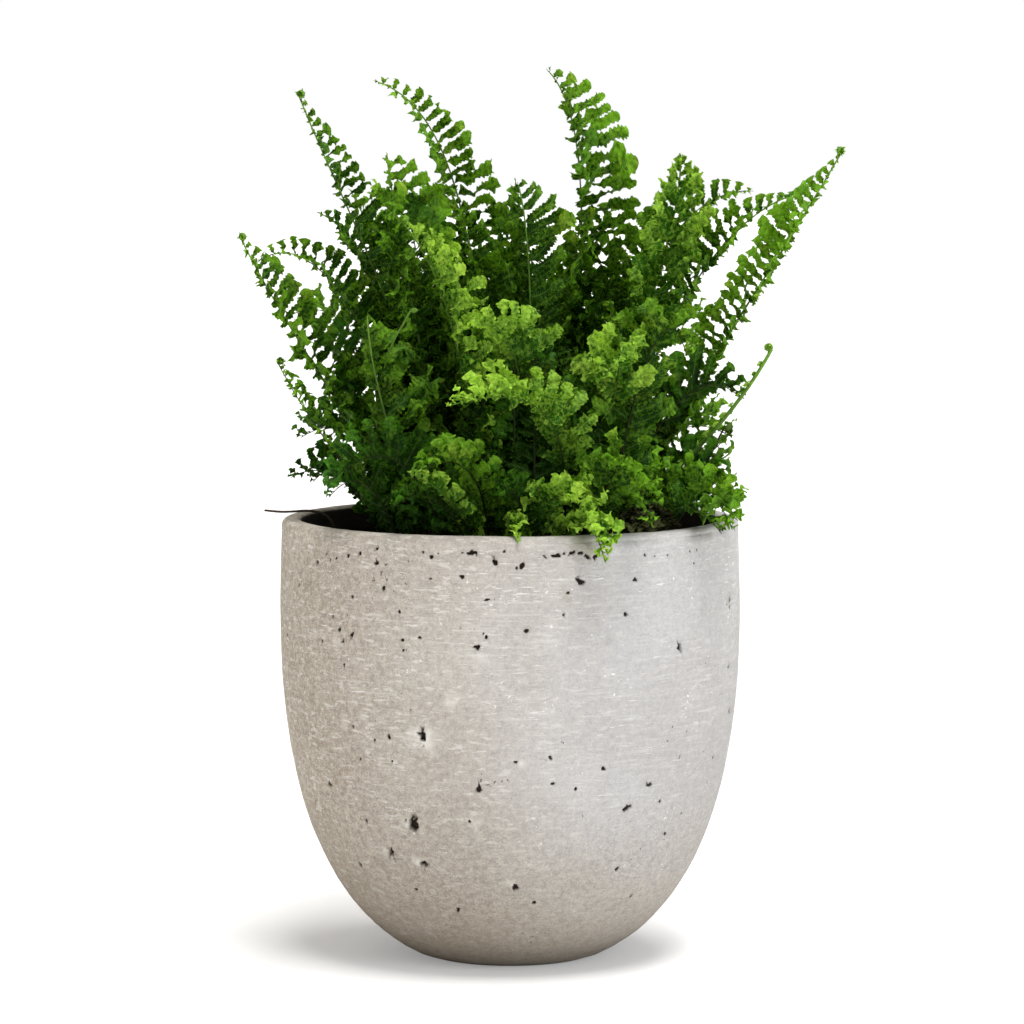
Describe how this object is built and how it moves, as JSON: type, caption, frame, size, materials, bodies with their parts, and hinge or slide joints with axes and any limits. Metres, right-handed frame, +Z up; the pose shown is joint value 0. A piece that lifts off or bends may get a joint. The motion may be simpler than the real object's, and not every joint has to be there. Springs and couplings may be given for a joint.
{
  "type": "potted boston fern",
  "caption": "Round-bottomed rough concrete planter filled with soil, holding a dense clump of arching fern fronds with ruffled leaflets and curled tips.",
  "frame": {"origin": "centre of the planter's flat underside", "axes": "+Z up through the planter's mouth, -Y towards the side shown in the picture, +X to its right"},
  "size_m": [0.2481, 0.2131, 0.3668],
  "materials": {
    "pot": "matte",
    "soil": "matte",
    "runner": "matte",
    "frond_dark": "satin",
    "frond_mid": "satin",
    "frond_bright": "satin"
  },
  "bodies": {
    "root": {"frond_back_high_1": "frond_mid", "frond_back_high_2": "frond_mid", "frond_back_high_3": "frond_mid", "frond_back_low_1": "frond_dark", "frond_back_low_2": "frond_dark", "frond_back_low_3": "frond_dark", "frond_back_low_4": "frond_dark", "frond_back_low_5": "frond_dark", "frond_back_low_6": "frond_dark", "frond_back_low_7": "frond_dark", "frond_back_low_8": "frond_dark", "frond_back_mid_1": "frond_mid", "frond_back_mid_2": "frond_mid", "frond_back_mid_3": "frond_mid", "frond_back_mid_4": "frond_mid", "frond_back_mid_5": "frond_mid", "frond_back_mid_6": "frond_mid", "frond_centre_broad": "frond_mid", "frond_centre_curl": "frond_mid", "frond_front_bright": "frond_bright", "frond_front_centre": "frond_bright", "frond_front_low": "frond_mid", "frond_front_over_rim": "frond_bright", "frond_front_pale": "frond_bright", "frond_front_right_low": "frond_mid", "frond_front_right_tip": "frond_bright", "frond_front_rim": "frond_dark", "frond_front_rim_left": "frond_dark", "frond_left_arch": "frond_mid", "frond_left_back": "frond_mid", "frond_left_face": "frond_mid", "frond_left_front": "frond_mid", "frond_left_front_low": "frond_dark", "frond_left_long": "frond_mid", "frond_left_low": "frond_dark", "frond_left_mid": "frond_dark", "frond_left_rim": "frond_dark", "frond_left_side_low": "frond_dark", "frond_left_tall": "frond_mid", "frond_left_young": "frond_mid", "frond_right_arch": "frond_mid", "frond_right_back_arch": "frond_mid", "frond_right_front": "frond_dark", "frond_right_long": "frond_mid", "frond_right_low": "frond_mid", "frond_right_lush": "frond_mid", "frond_right_mid": "frond_dark", "frond_right_over_rim": "frond_mid", "frond_right_upright": "frond_bright", "frond_top_left": "frond_mid", "frond_top_middle": "frond_mid", "frond_young_low": "frond_mid", "frond_young_right": "frond_bright", "pot": "pot", "runner": "runner", "soil": "soil"}
  },
  "joints": []
}
